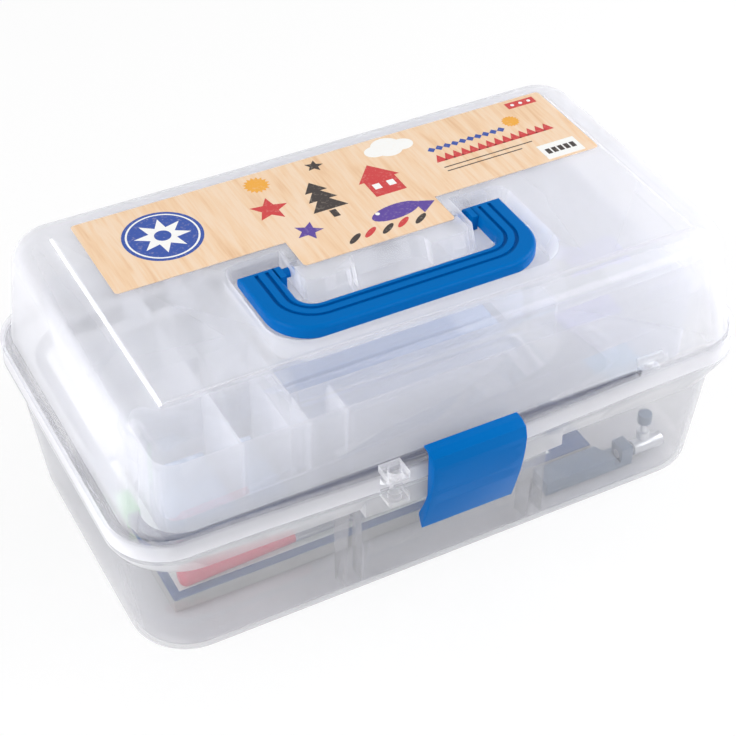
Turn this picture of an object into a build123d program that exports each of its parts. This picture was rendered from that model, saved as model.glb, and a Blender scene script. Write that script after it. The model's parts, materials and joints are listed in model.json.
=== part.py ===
"""Translucent tool case for a fretsaw set: a moulded tub and a hinged lid with a folding
handle and a snap latch, a lift-out tray, and the tools and blade packets that lie inside.

Frame: X runs along the length, -Y is the front with the latch, +Z is up.
The origin is the middle of the underside. All sizes are in millimetres.
"""
from build123d import *
import os

# Case, outside
case_length = 340.0
case_width = 194.0
front_bow = 4.0
rim_corner_radius = 29.0
least_corner = 2.0
tub_height = 79.7
lid_shoulder_rise = 11.3
case_height = 150.5

# Tub
tub_wall = 2.0
tub_floor = 2.2
tub_foot_inset = 11.5
tub_edge_radius = 7.0
tub_corner_radius = 41.0
flare_height = 15.7
flare_inset = 4.3
rim_band = 2.0
lip_gap = 0.6
lip_wall = 2.0
lip_height = 8.6

# Latch land: the flat apron under the rim that the latch hooks beneath
apron_half_length = 54.0
apron_drop = 13.7
apron_wall = 2.0
apron_set_back = 0.2

# Posts inside the tub that carry the tray and the saw bow
post_spacing = 104.0
post_width = 11.5
post_wall = 1.6
post_drop = 7.7
post_depth = 23.5

# Lid
lid_wall = 2.0
skirt_wall = 1.8
parting_gap = 0.3
lid_inset = 6.0
lid_front_reach = 3.6
lid_draught = 6.2
lid_corner_radius = 22.0
lid_edge_radius = 15.0
bead_end_gap = 30.5
bead_front_gap = 23.2
bead_rear_gap = 35.0
bead_width = 1.6
bead_height = 1.2
bead_root = 1.0

# Recess in the lid for the folded handle
recess_side_gap = 5.5
recess_front_gap = 9.0
recess_rear_y = 4.0
recess_slope = 2.6
recess_corner_radius = 20.0
recess_rear_radius = 8.0
plateau_gap = 4.0
plateau_front_y = 28.5
plateau_slope = 4.5
plateau_corner_radius = 6.0
scoop_half_length = 20.0
scoop_rear_y = 14.0

# Carrying handle
handle_half_length = 71.5
handle_front_y = 55.0
handle_arm_width = 18.0
handle_bar_width = 17.5
handle_thickness = 8.0
handle_outer_radius = 23.0
handle_inner_radius = 9.0
handle_edge_radius = 2.4
handle_floor_gap = 0.5
handle_sink = 2.0
handle_pivot_y = 6.5
handle_pivot_radius = 2.5
handle_pivot_clearance = 0.1
handle_ear_length = 11.0
handle_ear_step = 3.0
handle_pin_bite = 2.5
groove_width = 2.0
groove_depth = 1.2
groove_offsets = (4.5, 10.0)
cut_overrun = 1.0

# Latch
latch_x = 2.3
latch_width = 50.2
latch_clearance = 1.2
latch_plate = 6.0
latch_drop = 53.4
latch_top_back = 1.6
latch_top_run = 3.2
latch_bend_run = 1.4
latch_bend_drop = 6.0
latch_lean = 2.0
latch_front_rise = 6.0
latch_chin_run = 5.9
latch_chin_drop = 9.5
latch_toe_run = 4.2
latch_hook_reach = 7.5
latch_hook_rise = 6.5
latch_hook_tip = 2.0
latch_catch_run = 2.2
latch_catch_drop = 3.4
latch_catch_rise = 3.0
latch_inner_bend = 1.4
latch_edge_radius = 0.6
latch_axle_radius = 1.3
latch_axle_clearance = 0.1
latch_ear_radius = 2.4
latch_ear_thickness = 3.0
latch_ear_spacing = 30.0
latch_cheek_thickness = 3.0
latch_cheek_gap = 0.8
latch_cheek_wall = 0.6
latch_cheek_bite = 1.0
latch_pivot_height = 2.2
latch_pivot_set_back = 1.8
latch_ear_gap = 0.3
latch_plate_top = 1.3

# Padlock eye beside the latch
eye_x = -41.2
eye_bore_radius = 3.4
eye_wall = 2.2
eye_corner_radius = 1.6
eye_stand_off = 0.2
eye_rise = 2.3
eye_gap = 0.4
eye_top_rise = 4.5
eye_drop = 6.0
eye_front_height = 3.6

# Rear hinges
hinge_x = 95.0
hinge_gap = 4.6
knuckle_radius = 4.0
base_knuckle_length = 22.0
lid_knuckle_length = 10.0
knuckle_gap = 0.4
hinge_pin_radius = 1.5
hinge_pin_clearance = 0.05
knuckle_web = 2.7

# Lift-out tray
tray_end_gap = 24.0
tray_side_gap = 18.7
tray_draught = 2.0
tray_corner_radius = 12.0
tray_height = 45.0
tray_wall = 1.6
tray_rib = 1.4
divider_drop = 2.5
channel_end_gap = 71.0
channel_width = 10.0
cell_length = 42.0
cell_wall_y = (-31.0, 24.0)
trough_width = 23.3
trough_bay_length = 23.5
end_bay_length = 70.0

# Printed sheet on the lid
sheet_thickness = 0.3
sheet_left_gap = 42.0
sheet_right_gap = 32.0
sheet_rear_gap = 29.0
sheet_recess_gap = 4.0
sheet_tab_side_gap = 5.5
sheet_scoop_gap = 1.0
sheet_corner_radius = 2.0

# Fretsaw bow, lying on the posts round the tray
bow_bar_width = 5.0
bow_bar_height = 8.0
bow_side_gap = 10.0
bow_end_gap = 15.0
bow_length = 263.0
bow_corner_radius = 24.0
clamp_block = 11.0
clamp_block_height = 10.0
wing_radius = 2.4
wing_span = 15.0
wing_thickness = 1.6
wing_height = 4.5
band_length = 15.0
band_wall = 0.7
band_y = -52.0

# Saw table, on the tub floor
table_end_gap = 33.0
table_length = 240.0
table_side_gap = 39.0
table_width = 112.0
table_thickness = 9.0
table_notch_depth = 60.0
table_notch_width = 34.0

# File with a round grip, lying on the saw table
file_end_gap = 6.0
file_side_gap = 8.0
file_grip_length = 62.0
file_grip_radius = 5.5
file_grip_neck_radius = 3.4
file_blade_length = 70.0
file_blade_width = 7.0
file_blade_thickness = 2.6
file_tip_radius = 2.3

# Table clamp, on the tub floor beside the saw table
clamp_end_gap = 104.0
clamp_table_gap = 2.0
clamp_length = 54.0
clamp_depth = 13.0
clamp_strap = 3.0
clamp_jaw_length = 43.0
clamp_jaw_slant = 5.0
clamp_jaw_height = 9.0
clamp_boss_length = 7.0
clamp_boss_depth = 10.0
clamp_boss_height = 12.0
clamp_screw_rise = 6.0
clamp_screw_radius = 2.6
clamp_head_gap = 2.5
clamp_head_length = 18.0
clamp_head_radius = 4.0
cross_bar_inset = 6.5
cross_bar_radius = 1.5
cross_bar_top = 22.0
cross_bar_collar_low = 11.3
cross_bar_collar_high = 16.3
cross_bar_collar_radius = 3.4
clamp_knob_radius = 3.8
clamp_knob_length = 6.5

# Blade packets, in the tray
packet_length = 126.0
packet_width = 17.0
packet_thickness = 4.0
packet_pitch = 19.0
packet_end_gap = 12.0
packet_side_gap = 9.0
packet_count = 3
bag_thickness = 6.0
bag_edge_radius = 2.4
bag_gap = 3.0

# Worked out from the sizes above
half_length = case_length / 2
half_width = case_width / 2
flare_start_z = tub_height - flare_height
post_top_z = tub_height - post_drop
lid_shoulder_z = tub_height + lid_shoulder_rise
lid_bottom_z = tub_height + parting_gap
post_reach_y = half_width - post_depth
recess_half_length = handle_half_length + recess_side_gap
recess_front_y = handle_front_y + recess_front_gap
recess_floor_z = case_height - handle_thickness - handle_floor_gap - handle_sink
plateau_half_length = handle_half_length - handle_arm_width - handle_ear_step - plateau_gap
handle_bottom_z = recess_floor_z + handle_floor_gap
handle_pivot_z = handle_bottom_z + handle_thickness / 2
front_rim_y = -(half_width + front_bow)
latch_pivot_y = front_rim_y + latch_pivot_set_back
latch_pivot_z = lid_shoulder_z + latch_pivot_height
hinge_y = half_width + hinge_gap
hinge_z = tub_height + parting_gap
tray_floor_z = post_top_z
tray_half_length = half_length - tray_end_gap
tray_half_width = half_width - tray_side_gap
channel_x = channel_end_gap - tray_half_length
cell_wall_x = cell_length - tray_half_length
trough_wall_y = trough_width - tray_half_width
trough_wall_x = channel_x + trough_bay_length
bay_wall_x = tray_half_length - end_bay_length
sheet_front_y = recess_rear_y + sheet_recess_gap
bow_half_width = half_width - bow_side_gap
bow_left_x = bow_end_gap - half_length
bow_arm_end_x = bow_left_x + bow_length
table_left_x = table_end_gap - half_length
table_front_y = table_side_gap - half_width
file_x = table_left_x + file_end_gap
file_y = table_front_y + file_side_gap
clamp_x = half_length - clamp_end_gap
clamp_y = table_front_y - clamp_table_gap - clamp_depth
clamp_end_x = clamp_x + clamp_length
clamp_head_x = clamp_end_x + clamp_head_gap
clamp_screw_y = clamp_y + clamp_boss_depth / 2
clamp_screw_z = tub_floor + clamp_screw_rise
cross_bar_x = clamp_head_x + cross_bar_inset


def plan(inset, bow=0.0, radius=rim_corner_radius, reach=0.0):
    """Outline seen from above: a rounded rectangle. Its front edge may reach out and bow."""
    half_x, half_y = half_length - inset, half_width - inset
    corner = max(radius - inset, least_corner)
    x, y = half_x - corner, half_y - corner
    front_y, front_corner_y = half_y + reach, y + reach
    if bow:
        front = Spline((-x, -front_y), (0, -front_y - bow), (x, -front_y),
                       tangents=((1, 0), (1, 0)))
    else:
        front = Line((-x, -front_y), (x, -front_y))
    edges = [
        Line((half_x, -front_corner_y), (half_x, y)),
        CenterArc((x, y), corner, 0, 90),
        Line((x, half_y), (-x, half_y)),
        CenterArc((-x, y), corner, 90, 90),
        Line((-half_x, y), (-half_x, -front_corner_y)),
        CenterArc((-x, -front_corner_y), corner, 180, 90),
        front,
        CenterArc((x, -front_corner_y), corner, 270, 90),
    ]
    return make_face(edges)


def at_height(face, z):
    """The same outline, lifted to height z."""
    return Pos(0, 0, z) * face


def slab(face, z_low, z_high):
    """Upright slab of an outline between two heights."""
    return extrude(at_height(face, z_low), z_high - z_low, dir=(0, 0, 1))


def tapered(face_low, z_low, face_high, z_high):
    """Drafted block between two outlines."""
    return loft([at_height(face_low, z_low), at_height(face_high, z_high)], ruled=True)


def box(x_low, x_high, y_low, y_high, z_low, z_high):
    """Box between two corners."""
    middle = ((x_low + x_high) / 2, (y_low + y_high) / 2, (z_low + z_high) / 2)
    return Pos(*middle) * Box(x_high - x_low, y_high - y_low, z_high - z_low)


def rod_x(radius, x_low, x_high, y, z):
    """Round bar along X."""
    middle = Pos((x_low + x_high) / 2, y, z)
    return middle * Rot(0, 90, 0) * Cylinder(radius, x_high - x_low)


def rod_z(radius, x, y, z_low, z_high):
    """Round bar along Z."""
    return Pos(x, y, (z_low + z_high) / 2) * Cylinder(radius, z_high - z_low)


def rounded_block(half_x, y_low, y_high, radius):
    """Flat rounded rectangle, centred in X, between two places in Y."""
    middle = Pos(0, (y_low + y_high) / 2)
    return middle * RectangleRounded(2 * half_x, y_high - y_low, radius)


def front_rim_at(x):
    """Where the bowed front of the rim stands at a place along the case."""
    share = 1 - abs(x) / (half_length - rim_corner_radius)
    return -(half_width + front_bow * share * share * (3 - 2 * share))


def eye_axis_y():
    """The padlock eye's bore stands just outside the rim."""
    return front_rim_at(eye_x) - eye_stand_off - eye_bore_radius


def base_tub():
    """Open tub with a flared rim, a locating lip, a latch apron, posts and hinge knuckles."""
    foot_outline = plan(tub_foot_inset, radius=tub_corner_radius)
    flare_outline = plan(flare_inset, radius=tub_corner_radius)
    foot = tapered(foot_outline, 0, flare_outline, flare_start_z)
    foot = fillet(foot.edges().group_by(Axis.Z)[0], tub_edge_radius)
    rim_top = plan(0, front_bow)
    rim_low_z = tub_height - rim_band
    body = foot + tapered(flare_outline, flare_start_z, rim_top, rim_low_z)
    body += slab(rim_top, rim_low_z, tub_height)

    lip_inset = skirt_wall + lip_gap
    lip_outline = plan(lip_inset, front_bow)
    body += slab(lip_outline, tub_height, tub_height + lip_height)

    apron_low_z = tub_height - apron_drop
    apron_face = plan(apron_set_back, front_bow)
    apron_back = plan(apron_set_back + apron_wall, front_bow)
    apron = slab(apron_face, apron_low_z, rim_low_z) - slab(apron_back, apron_low_z, rim_low_z)
    apron &= box(-apron_half_length, apron_half_length, -case_width, 0, 0, tub_height)
    for side in (-1, 1):
        outer_x = side * apron_half_length
        inner_x = side * (apron_half_length - apron_wall)
        web = slab(apron_face, apron_low_z, rim_low_z)
        web &= box(min(outer_x, inner_x), max(outer_x, inner_x), -case_width, 0, 0, tub_height)
        apron += web
    body += apron

    inner_floor = plan(tub_foot_inset + tub_wall, radius=tub_corner_radius)
    inner_top = plan(flare_inset + tub_wall, radius=tub_corner_radius)
    hollow = tapered(inner_floor, tub_floor, inner_top, flare_start_z)
    hollow = fillet(hollow.edges().group_by(Axis.Z)[0], tub_edge_radius - tub_wall)
    mouth = plan(lip_inset + lip_wall, front_bow)
    hollow += tapered(inner_top, flare_start_z, mouth, rim_low_z)
    hollow += slab(mouth, rim_low_z, tub_height + lip_height)
    tub = body - hollow

    for side_x in (-1, 1):
        for side_y in (-1, 1):
            tub += post(side_x * post_spacing / 2, side_y) & (body - tub_shadow())

    tub += base_eye()
    for side in (-1, 1):
        tub += base_knuckle(side * hinge_x)
        tub -= rod_x(hinge_pin_radius, side * hinge_x - base_knuckle_length,
                     side * hinge_x + base_knuckle_length, hinge_y, hinge_z)
    return tub


def tub_shadow():
    """Everything above the posts, so that a post never reaches into the rim."""
    return box(-half_length, half_length, -half_width, half_width, post_top_z, case_height)


def post(x, side_y):
    """Hollow post against the long wall: two upright ribs under a flat cap."""
    outer_y, inner_y = side_y * half_width, side_y * post_reach_y
    low_y, high_y = min(outer_y, inner_y), max(outer_y, inner_y)
    shell = box(x - post_width / 2, x + post_width / 2, low_y, high_y, 0, post_top_z)
    core_half = post_width / 2 - post_wall
    wall_y = side_y * (half_width - tub_foot_inset - tub_wall)
    core_low, core_high = min(wall_y, inner_y), max(wall_y, inner_y)
    core = box(x - core_half, x + core_half, core_low, core_high, tub_floor,
               post_top_z - post_wall)
    return shell - core


def eye_ring(z_low, z_high, back_y):
    """Square ring of the padlock eye, rounded at its front corners, joined back to the rim."""
    half = eye_bore_radius + eye_wall
    ring = box(eye_x - half, eye_x + half, eye_axis_y() - half, back_y, z_low, z_high)
    return fillet((ring.edges() | Axis.Z).group_by(Axis.Y)[0], eye_corner_radius)


def base_eye():
    """Lower half of the padlock eye, outside the lid's skirt."""
    low_z = tub_height - rim_band
    top_z = tub_height + eye_rise
    ring = eye_ring(low_z, top_z, front_rim_at(eye_x) + apron_wall)
    clear_of_skirt = slab(plan(-eye_gap, front_bow), tub_height, top_z)
    ring -= clear_of_skirt
    ring -= rod_z(eye_bore_radius, eye_x, eye_axis_y(), low_z, top_z)
    return ring


def base_knuckle(x):
    """Middle knuckle of a hinge, on a web under the parting line."""
    low_x, high_x = x - base_knuckle_length / 2, x + base_knuckle_length / 2
    knuckle = rod_x(knuckle_radius, low_x, high_x, hinge_y, hinge_z)
    web = box(low_x, high_x, half_width - tub_wall, hinge_y, tub_height - knuckle_web, tub_height)
    return knuckle + web


def recess_shape(grow, z_floor, z_top):
    """Room for the folded handle round the plateau. grow thickens it all round."""
    room = Part()
    side_y = -recess_front_y + recess_corner_radius
    for front_y, radius in ((-recess_front_y, recess_corner_radius), (side_y, recess_rear_radius)):
        rear_y = recess_rear_y if radius == recess_rear_radius else 0
        low = rounded_block(recess_half_length - recess_slope + grow,
                            front_y + recess_slope - grow, rear_y + grow, radius)
        high = rounded_block(recess_half_length + grow, front_y - grow, rear_y + grow, radius)
        room += tapered(low, z_floor, high, z_top)
    rear = recess_rear_y + 2 * plateau_corner_radius
    foot = rounded_block(plateau_half_length - grow, -plateau_front_y + grow, rear,
                         plateau_corner_radius)
    crown = rounded_block(plateau_half_length - grow, -plateau_front_y + plateau_slope + grow, rear,
                          plateau_corner_radius)
    plateau = tapered(foot, z_floor, crown, z_top)
    scoop_front = -plateau_front_y - 2 * plateau_corner_radius
    scoop_low = rounded_block(scoop_half_length + grow, scoop_front,
                              -scoop_rear_y - plateau_slope + grow, plateau_corner_radius)
    scoop_high = rounded_block(scoop_half_length + grow, scoop_front,
                               -scoop_rear_y + grow, plateau_corner_radius)
    scoop = tapered(scoop_low, z_floor, scoop_high, z_top)
    return room - (plateau - scoop)


def lid_shell():
    """Hinged lid: skirt, shoulder, drafted walls, rounded top, recess, bead, ears, knuckles."""
    top_inset = lid_inset + lid_draught
    radius_low = lid_corner_radius + lid_inset
    radius_high = lid_corner_radius + top_inset
    dome = tapered(plan(lid_inset, radius=radius_low, reach=lid_front_reach), lid_shoulder_z,
                   plan(top_inset, radius=radius_high), case_height)
    dome = fillet(dome.edges().group_by(Axis.Z)[-1], lid_edge_radius)
    skirt = slab(plan(0, front_bow), lid_bottom_z, lid_shoulder_z)
    body = dome + skirt
    body += lid_bead() & slab(plan(lid_inset), lid_shoulder_z, case_height + bead_height)
    body -= recess_shape(0, recess_floor_z, case_height)

    inner_low = plan(lid_inset + lid_wall, radius=radius_low, reach=lid_front_reach)
    inner_high = plan(top_inset + lid_wall, radius=radius_high)
    shoulder_low_z = lid_shoulder_z - lid_wall
    hollow = tapered(inner_low, shoulder_low_z, inner_high, case_height - lid_wall)
    hollow = fillet(hollow.edges().group_by(Axis.Z)[-1], lid_edge_radius - lid_wall)
    hollow -= recess_shape(lid_wall, recess_floor_z - lid_wall, case_height)
    hollow -= handle_bosses()
    hollow += slab(plan(skirt_wall, front_bow), lid_bottom_z, shoulder_low_z)
    lid = body - hollow

    bore = handle_pivot_radius + handle_pivot_clearance
    for side in (-1, 1):
        reach = plateau_half_length - handle_pin_bite - handle_pivot_clearance
        low_x, high_x = sorted((side * reach, side * (plateau_half_length + lid_wall)))
        lid -= rod_x(bore, low_x, high_x, -handle_pivot_y, handle_pivot_z)
        lid += latch_ear(latch_x + side * latch_ear_spacing / 2)
        for knuckle_side in (-1, 1):
            lid += lid_knuckle(side * hinge_x, knuckle_side)
    lid -= rod_x(latch_axle_radius + latch_axle_clearance, latch_x - latch_ear_spacing,
                 latch_x + latch_ear_spacing, latch_pivot_y, latch_pivot_z)
    lid += lid_eye()
    return lid


def handle_bosses():
    """Thick seats inside the plateau's walls that hold the handle's pivots."""
    seats = Part()
    seat_radius = handle_pivot_radius + lid_wall
    for side in (-1, 1):
        inner_x = plateau_half_length - handle_pin_bite - 2 * lid_wall
        low_x, high_x = sorted((side * inner_x, side * plateau_half_length))
        seats += rod_x(seat_radius, low_x, high_x, -handle_pivot_y, handle_pivot_z)
    return seats


def lid_bead():
    """Narrow raised bead along the left, front and right edges of the lid's top."""
    half = bead_width / 2
    bead_x = half_length - bead_end_gap
    bead_front_y, bead_rear_y = half_width - bead_front_gap, half_width - bead_rear_gap
    low_z, high_z = case_height - bead_root, case_height + bead_height
    bead = box(-bead_x - half, bead_x + half, -bead_front_y - half, -bead_front_y + half,
               low_z, high_z)
    for side in (-1, 1):
        bead += box(side * bead_x - half, side * bead_x + half, -bead_front_y, bead_rear_y,
                    low_z, high_z)
    return bead


def latch_ear(x):
    """Ear on the shoulder that holds the latch's axle."""
    low_x, high_x = x - latch_ear_thickness / 2, x + latch_ear_thickness / 2
    ear = rod_x(latch_ear_radius, low_x, high_x, latch_pivot_y, latch_pivot_z)
    ear += box(low_x, high_x, latch_pivot_y - latch_ear_radius, latch_pivot_y + latch_ear_radius,
               lid_shoulder_z - lid_wall / 2, latch_pivot_z)
    return ear


def lid_knuckle(x, side):
    """Outer knuckle of a hinge, on a web over the parting line."""
    near = base_knuckle_length / 2 + knuckle_gap
    low_x, high_x = sorted((x + side * near, x + side * (near + lid_knuckle_length)))
    knuckle = rod_x(knuckle_radius, low_x, high_x, hinge_y, hinge_z)
    knuckle += box(low_x, high_x, half_width - skirt_wall / 2, hinge_y, lid_bottom_z,
                   lid_bottom_z + knuckle_web)
    knuckle -= rod_x(hinge_pin_radius + hinge_pin_clearance, low_x, high_x, hinge_y, hinge_z)
    return knuckle


def lid_eye():
    """Upper half of the padlock eye: a ring that rises over the shoulder, undercut to its front."""
    low_z, top_z = lid_shoulder_z - eye_drop, lid_shoulder_z + eye_top_rise
    half = eye_bore_radius + eye_wall
    front_y, rear_y = eye_axis_y() - half, eye_axis_y() + half
    ring = eye_ring(low_z, lid_shoulder_z, front_rim_at(eye_x) + skirt_wall / 2)
    ring += eye_ring(lid_shoulder_z - lid_wall / 2, top_z, rear_y)
    under = Polyline([(front_y - cut_overrun, low_z), (front_y - cut_overrun, top_z - eye_front_height),
                      (front_y, top_z - eye_front_height), (front_rim_at(eye_x), low_z)], close=True)
    ring -= Pos(eye_x, 0, 0) * extrude(Plane.YZ * make_face(under), half, both=True)
    ring -= rod_z(eye_bore_radius, eye_x, eye_axis_y(), low_z, top_z)
    return ring


def u_outline(half_x, front_y, radius, rear_y):
    """Flat shape with rounded front corners and a square rear edge."""
    x, y = half_x - radius, front_y - radius
    edges = [
        Line((half_x, rear_y), (-half_x, rear_y)),
        Line((-half_x, rear_y), (-half_x, -y)),
        CenterArc((-x, -y), radius, 180, 90),
        Line((-x, -front_y), (x, -front_y)),
        CenterArc((x, -y), radius, 270, 90),
        Line((half_x, -y), (half_x, rear_y)),
    ]
    return make_face(edges)


def carry_handle():
    """U-shaped grip with two grooves on top and a moulded pivot at each rear end."""
    end_radius = handle_thickness / 2
    rear_y = -handle_pivot_y + end_radius
    inner_half = handle_half_length - handle_arm_width
    inner_front = handle_front_y - handle_bar_width
    outer = u_outline(handle_half_length, handle_front_y, handle_outer_radius, rear_y)
    window = u_outline(inner_half, inner_front, handle_inner_radius, rear_y)
    top_z = handle_bottom_z + handle_thickness
    grip = slab(outer - window, handle_bottom_z, top_z)
    upright = (grip.edges() | Axis.X) + (grip.edges() | Axis.Y)
    flat = [e for e in upright if abs(e.center().Y - rear_y) > handle_edge_radius]
    arcs = grip.edges().filter_by(GeomType.CIRCLE)
    grip = fillet(flat + list(arcs), handle_edge_radius)

    for side in (-1, 1):
        low_x, high_x = sorted((side * inner_half, side * (inner_half - handle_ear_step)))
        ear_front = -handle_pivot_y - handle_ear_length + end_radius
        grip += box(low_x, high_x, ear_front, rear_y, handle_bottom_z, top_z)
    for side in (-1, 1):
        low_x, high_x = sorted((side * (inner_half - handle_ear_step - cut_overrun),
                                side * (handle_half_length + cut_overrun)))
        corner = box(low_x, high_x, -handle_pivot_y, rear_y + cut_overrun, handle_bottom_z, top_z)
        corner -= rod_x(end_radius, low_x, high_x, -handle_pivot_y, handle_pivot_z)
        grip -= corner
        pin_end = side * (plateau_half_length - handle_pin_bite)
        pin_low, pin_high = sorted((pin_end, side * (inner_half - handle_ear_step + cut_overrun)))
        grip += rod_x(handle_pivot_radius, pin_low, pin_high, -handle_pivot_y, handle_pivot_z)

    for offset in groove_offsets:
        half_x = inner_half + offset
        front = inner_front + offset * handle_bar_width / handle_arm_width
        radius = handle_inner_radius + offset
        rim_line = u_outline(half_x + groove_width / 2, front + groove_width / 2,
                             radius + groove_width / 2, -handle_pivot_y)
        core_line = u_outline(half_x - groove_width / 2, front - groove_width / 2,
                              radius - groove_width / 2, -handle_pivot_y)
        grip -= slab(rim_line - core_line, top_z - groove_depth, top_z)
    return grip


def latch():
    """Snap latch: a curved plate on a moulded axle, with a sloped hook at its foot."""
    face_y = front_rim_y - latch_clearance
    top_z = latch_pivot_z + latch_ear_radius + latch_ear_gap
    hook_z = tub_height - apron_drop
    foot_z = top_z - latch_drop
    outer_y = face_y - latch_plate
    hook_y = face_y + latch_hook_reach
    bend = (outer_y, top_z - latch_bend_drop)
    toe = (face_y + latch_toe_run, foot_z)
    front = Spline(bend, (outer_y + latch_lean, hook_z + latch_front_rise),
                   (outer_y + latch_chin_run, hook_z - latch_chin_drop), toe)
    back = Polyline([
        toe,
        (hook_y, foot_z + latch_hook_rise),
        (hook_y, foot_z + latch_hook_rise + latch_hook_tip),
        (face_y + latch_catch_run, hook_z - latch_catch_drop),
        (face_y, hook_z + latch_catch_rise),
        (face_y, top_z - latch_inner_bend),
        (face_y + latch_inner_bend, top_z),
        (latch_pivot_y + latch_top_back, top_z),
        (latch_pivot_y + latch_top_back, top_z + latch_plate_top),
        (latch_pivot_y - latch_top_run, top_z + latch_plate_top),
        (outer_y + latch_bend_run, top_z - latch_edge_radius),
        bend,
    ])
    section = Plane.YZ * make_face([front, back])
    plate = extrude(section, latch_width / 2, both=True)
    plate = Pos(latch_x, 0, 0) * fillet(plate.edges() | Axis.X, latch_edge_radius)

    cheek_near = latch_ear_spacing / 2 + latch_ear_thickness / 2 + latch_cheek_gap
    cheek_far = cheek_near + latch_cheek_thickness
    plate += rod_x(latch_axle_radius, latch_x - cheek_far, latch_x + cheek_far,
                   latch_pivot_y, latch_pivot_z)
    for side in (-1, 1):
        low_x, high_x = sorted((latch_x + side * cheek_near, latch_x + side * cheek_far))
        plate += rod_x(latch_axle_radius + latch_cheek_wall, low_x, high_x,
                       latch_pivot_y, latch_pivot_z)
        plate += box(low_x, high_x, face_y - latch_cheek_bite, latch_pivot_y,
                     latch_pivot_z - latch_axle_radius, top_z + latch_plate_top / 2)
    return plate


def hinge_pins():
    """One steel pin in each rear hinge."""
    pins = Part()
    reach = base_knuckle_length / 2 + knuckle_gap + lid_knuckle_length
    for side in (-1, 1):
        pins += rod_x(hinge_pin_radius, side * hinge_x - reach, side * hinge_x + reach,
                      hinge_y, hinge_z)
    return pins


def tray_plan(inset):
    """Tray outline seen from above."""
    corner = tray_corner_radius - inset
    return RectangleRounded(2 * (tray_half_length - inset), 2 * (tray_half_width - inset), corner)


def lift_out_tray():
    """Drafted tray: small bays at the left of a hollow cross channel, long bays at the right."""
    top_z = tray_floor_z + tray_height
    body = tapered(tray_plan(tray_draught), tray_floor_z, tray_plan(0), top_z)
    hollow = tapered(tray_plan(tray_draught + tray_wall), tray_floor_z + tray_wall,
                     tray_plan(tray_wall), top_z)
    tray = body - hollow

    rib_top = top_z - divider_drop
    half_rib = tray_rib / 2
    reach_x, reach_y = tray_half_length, tray_half_width
    walls = box(channel_x - channel_width / 2, channel_x + channel_width / 2, -reach_y, reach_y,
                tray_floor_z, rib_top)
    walls += box(cell_wall_x - half_rib, cell_wall_x + half_rib, -reach_y, reach_y,
                 tray_floor_z, rib_top)
    for y in cell_wall_y:
        walls += box(-reach_x, channel_x, y - half_rib, y + half_rib, tray_floor_z, rib_top)
    walls += box(channel_x, reach_x, trough_wall_y - half_rib, trough_wall_y + half_rib,
                 tray_floor_z, rib_top)
    walls += box(trough_wall_x - half_rib, trough_wall_x + half_rib, -reach_y, trough_wall_y,
                 tray_floor_z, rib_top)
    walls += box(bay_wall_x - half_rib, bay_wall_x + half_rib, trough_wall_y, reach_y,
                 tray_floor_z, rib_top)
    tray += walls & body
    core_half = channel_width / 2 - tray_wall
    core_y = tray_half_width - tray_draught - 2 * tray_wall
    tray -= box(channel_x - core_half, channel_x + core_half, -core_y, core_y,
                tray_floor_z, rib_top - tray_wall)
    return tray


def lid_sheet():
    """Printed sheet stuck to the lid's top, with a tab between the handle's arms."""
    main = box(sheet_left_gap - half_length, half_length - sheet_right_gap, sheet_front_y,
               half_width - sheet_rear_gap, 0, sheet_thickness)
    main = fillet(main.edges() | Axis.Z, sheet_corner_radius)
    tab_half_length = plateau_half_length - sheet_tab_side_gap
    tab = box(-tab_half_length, tab_half_length, sheet_scoop_gap - scoop_rear_y,
              sheet_front_y + sheet_corner_radius, 0, sheet_thickness)
    tab = fillet((tab.edges() | Axis.Z).group_by(Axis.Y)[0], sheet_corner_radius)
    return Pos(0, 0, case_height) * (main + tab)


def bow_bar(grow):
    """U-shaped bar of the saw bow. grow thickens it all round."""
    low_z, high_z = post_top_z - grow, post_top_z + bow_bar_height + grow
    outer = bow_outline(bow_half_width + grow, bow_left_x - grow, bow_corner_radius + grow)
    inner = bow_outline(bow_half_width - bow_bar_width - grow, bow_left_x + bow_bar_width + grow,
                        bow_corner_radius - bow_bar_width - grow)
    return slab(outer - inner, low_z, high_z)


def bow_outline(half_y, left_x, radius):
    """Flat shape, rounded at the left, running on to the ends of the bow's arms."""
    x, y = left_x + radius, half_y - radius
    edges = [
        Line((bow_arm_end_x, -half_y), (bow_arm_end_x, half_y)),
        Line((bow_arm_end_x, half_y), (x, half_y)),
        CenterArc((x, y), radius, 90, 90),
        Line((left_x, y), (left_x, -y)),
        CenterArc((x, -y), radius, 180, 90),
        Line((x, -half_y), (bow_arm_end_x, -half_y)),
    ]
    return make_face(edges)


def bow_clamps():
    """Blade clamps: a block on the end of each of the bow's arms."""
    clamps = Part()
    for side in (-1, 1):
        low_y, high_y = sorted((side * bow_half_width, side * (bow_half_width - bow_bar_width)))
        clamps += box(bow_arm_end_x, bow_arm_end_x + clamp_block, low_y, high_y,
                      post_top_z, post_top_z + clamp_block_height)
    return clamps


def wing_screws():
    """Wing screw on each of the bow's blade clamps."""
    screws = Part()
    x = bow_arm_end_x + clamp_block / 2
    stem_low = post_top_z + clamp_block_height
    stem_top = stem_low + wing_radius
    for side in (-1, 1):
        y = side * (bow_half_width - bow_bar_width / 2)
        stem = rod_z(wing_radius, x, y, stem_low, stem_top)
        wing = box(x - wing_span / 2, x + wing_span / 2, y - wing_thickness / 2,
                   y + wing_thickness / 2, stem_top, stem_top + wing_height)
        screws += stem + wing
    return screws


def bow_band():
    """Paper band round the closed end of the bow."""
    window = box(-half_length, 0, band_y - band_length / 2, band_y + band_length / 2,
                 0, case_height)
    return (bow_bar(band_wall) - bow_bar(0)) & window


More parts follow.
